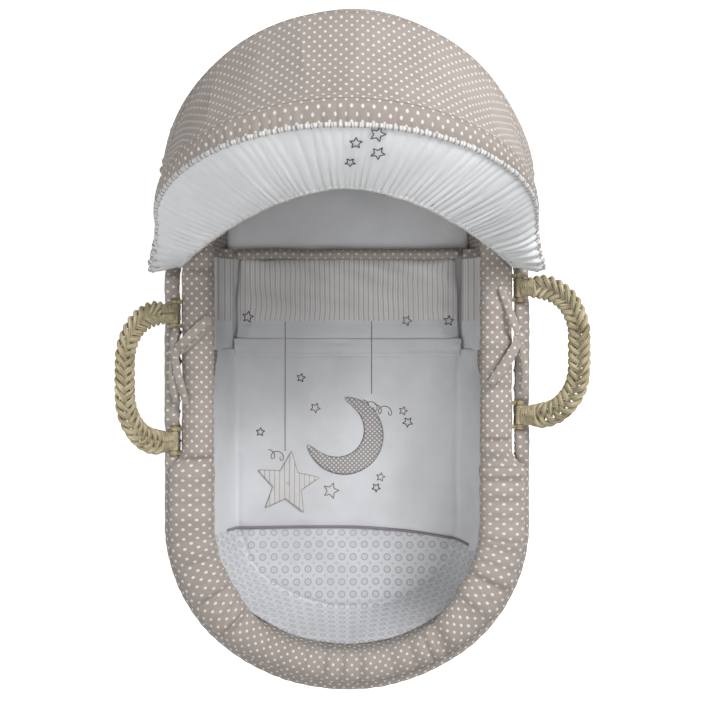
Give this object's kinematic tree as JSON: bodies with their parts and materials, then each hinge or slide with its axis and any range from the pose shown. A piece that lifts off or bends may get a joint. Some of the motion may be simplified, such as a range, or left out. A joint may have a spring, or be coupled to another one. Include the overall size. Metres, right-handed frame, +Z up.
{
  "type": "bassinet",
  "caption": "Dressed wicker baby basket with a folding fabric hood, carrying handles, a padded rim, a mattress and a turn-back coverlet.",
  "frame": {"origin": "middle of the underside of the base", "axes": "+X to the right seen from the foot end, +Y towards the hooded head end, +Z up"},
  "size_m": [0.563, 0.8327, 0.491],
  "materials": {
    "wicker": "woven, matt",
    "palm_braid": "braided, matt",
    "dotted_cotton": "woven cotton, matt",
    "white_cotton": "woven cotton, matt",
    "striped_cotton": "woven cotton, matt",
    "binding_cotton": "woven cotton, matt",
    "foam": "open foam",
    "elastic": "knitted",
    "white_plastic": "matt",
    "steel_wire": "drawn",
    "dowel": "turned"
  },
  "bodies": {
    "basket": {"base_coil": "palm_braid", "basket_floor": "wicker", "basket_wall": "wicker", "rim_braid": "palm_braid", "rim_wire": "steel_wire", "liner_wall": "dotted_cotton", "rim_bumper": "dotted_cotton", "skirt": "dotted_cotton", "skirt_elastic": "elastic", "mattress_foam": "foam", "mattress_cover": "white_cotton", "coverlet_lower": "white_cotton", "coverlet_panel": "white_cotton", "coverlet_foot_panel": "striped_cotton", "coverlet_piping": "binding_cotton", "hood_bracket_left": "white_plastic", "hood_bracket_right": "white_plastic", "pivot_pin_left": "steel_wire", "pivot_pin_right": "steel_wire", "handle_anchor_left": "palm_braid", "handle_anchor_right": "palm_braid", "handle_pin_left": "dowel", "handle_pin_right": "dowel", "tie_left": "dotted_cotton", "tie_right": "dotted_cotton"},
    "hood_rear": {"rear_hoop": "steel_wire", "rear_hoop_feet": "white_plastic", "canopy_back": "dotted_cotton"},
    "hood_front": {"front_hoop": "steel_wire", "front_hoop_feet": "white_plastic", "canopy_top": "dotted_cotton", "visor_strip": "dotted_cotton", "visor_piping": "striped_cotton", "frill": "white_cotton", "frill_elastic": "elastic"},
    "handle_left": {"handle_left": "palm_braid"},
    "handle_right": {"handle_right": "palm_braid"},
    "coverlet_turn": {"coverlet_upper": "white_cotton", "coverlet_band": "striped_cotton", "coverlet_binding": "binding_cotton"}
  },
  "joints": [
    {"name": "hood_rear_fold", "type": "hinge", "parent": "basket", "child": "hood_rear", "pos_m": [0, 0.118, 0.228], "axis": [-1, 0, 0], "range_deg": [0, 14], "deforming": ["canopy_back"]},
    {"name": "hood_front_fold", "type": "hinge", "parent": "hood_rear", "child": "hood_front", "pos_m": [0, 0.118, 0.228], "axis": [-1, 0, 0], "range_deg": [0, 26], "deforming": ["canopy_top"]},
    {"name": "handle_left_swing", "type": "hinge", "parent": "basket", "child": "handle_left", "pos_m": [-0.2125, -0.028, 0.232], "axis": [0, 1, 0], "range_deg": [-55, 50]},
    {"name": "handle_right_swing", "type": "hinge", "parent": "basket", "child": "handle_right", "pos_m": [0.2125, 0.004, 0.232], "axis": [0, -1, 0], "range_deg": [-42, 63]},
    {"name": "coverlet_turn_back", "type": "hinge", "parent": "basket", "child": "coverlet_turn", "pos_m": [0, 0.01, 0.0796], "axis": [1, 0, 0], "range_deg": [0, 165]}
  ],
  "couplings": [
    {"joint": "hood_front_fold", "follows": "hood_rear_fold", "ratio": 1.857}
  ]
}
